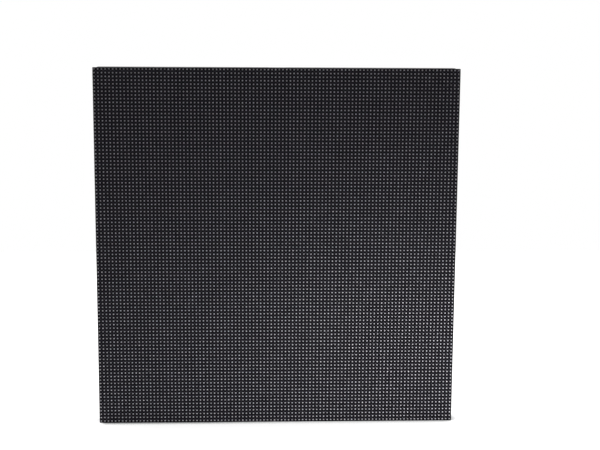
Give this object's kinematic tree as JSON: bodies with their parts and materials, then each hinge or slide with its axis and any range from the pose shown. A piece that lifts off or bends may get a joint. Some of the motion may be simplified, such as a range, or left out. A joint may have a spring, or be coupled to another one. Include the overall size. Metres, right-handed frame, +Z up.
{
  "type": "rgb led matrix panel",
  "caption": "Square display module: a grid of small colour light-emitting diodes in a black mask, on a board held by a ribbed plastic frame with plugs and threaded inserts behind.",
  "frame": {"origin": "centre of the underside of the bounding box, on the surface that the panel stands on", "axes": "+Z is up, the face looks along -Y, and +X is to the right of someone who looks at the face"},
  "size_m": [0.2496, 0.0182, 0.2497],
  "materials": {
    "black_polycarbonate": "fine matt moulded",
    "black_solder_mask": "satin",
    "glass_filled_nylon": "fine matt moulded",
    "tinned_brass": "tinned",
    "zinc_plated_steel": "zinc plated",
    "brass": "turned",
    "nickel_plated_magnet": "nickel plated",
    "blackened_steel": "blackened",
    "ground_steel": "ground",
    "black_polyester": "moulded",
    "white_nylon": "moulded",
    "tinned_pin": "tinned",
    "aluminium_can": "brushed",
    "moulded_epoxy": "moulded"
  },
  "bodies": {
    "root": {"board_nut_1": "tinned_brass", "board_nut_2": "tinned_brass", "board_nut_3": "tinned_brass", "board_nut_4": "tinned_brass", "board_nut_5": "tinned_brass", "board_nut_6": "tinned_brass", "buffer_chip_1": "moulded_epoxy", "buffer_chip_2": "moulded_epoxy", "capacitor_1": "aluminium_can", "capacitor_2": "aluminium_can", "capacitor_3": "aluminium_can", "capacitor_4": "aluminium_can", "capacitor_5": "aluminium_can", "capacitor_6": "aluminium_can", "data_header_1": "black_polyester", "data_header_2": "black_polyester", "frame_screw_1": "zinc_plated_steel", "frame_screw_2": "zinc_plated_steel", "frame_screw_3": "zinc_plated_steel", "frame_screw_4": "zinc_plated_steel", "frame_screw_5": "zinc_plated_steel", "frame_screw_6": "zinc_plated_steel", "front_mask": "black_polycarbonate", "led_board": "black_solder_mask", "locating_pin_1": "ground_steel", "locating_pin_2": "ground_steel", "magnet_screw_1": "blackened_steel", "magnet_screw_2": "blackened_steel", "magnet_screw_3": "blackened_steel", "magnet_screw_4": "blackened_steel", "mount_magnet_1": "nickel_plated_magnet", "mount_magnet_2": "nickel_plated_magnet", "mount_magnet_3": "nickel_plated_magnet", "mount_magnet_4": "nickel_plated_magnet", "power_header": "white_nylon", "power_pin_1": "tinned_pin", "power_pin_2": "tinned_pin", "power_pin_3": "tinned_pin", "power_pin_4": "tinned_pin", "rear_frame": "glass_filled_nylon", "threaded_insert_1": "brass", "threaded_insert_2": "brass", "threaded_insert_3": "brass", "threaded_insert_4": "brass", "threaded_insert_5": "brass", "threaded_insert_6": "brass"}
  },
  "joints": []
}
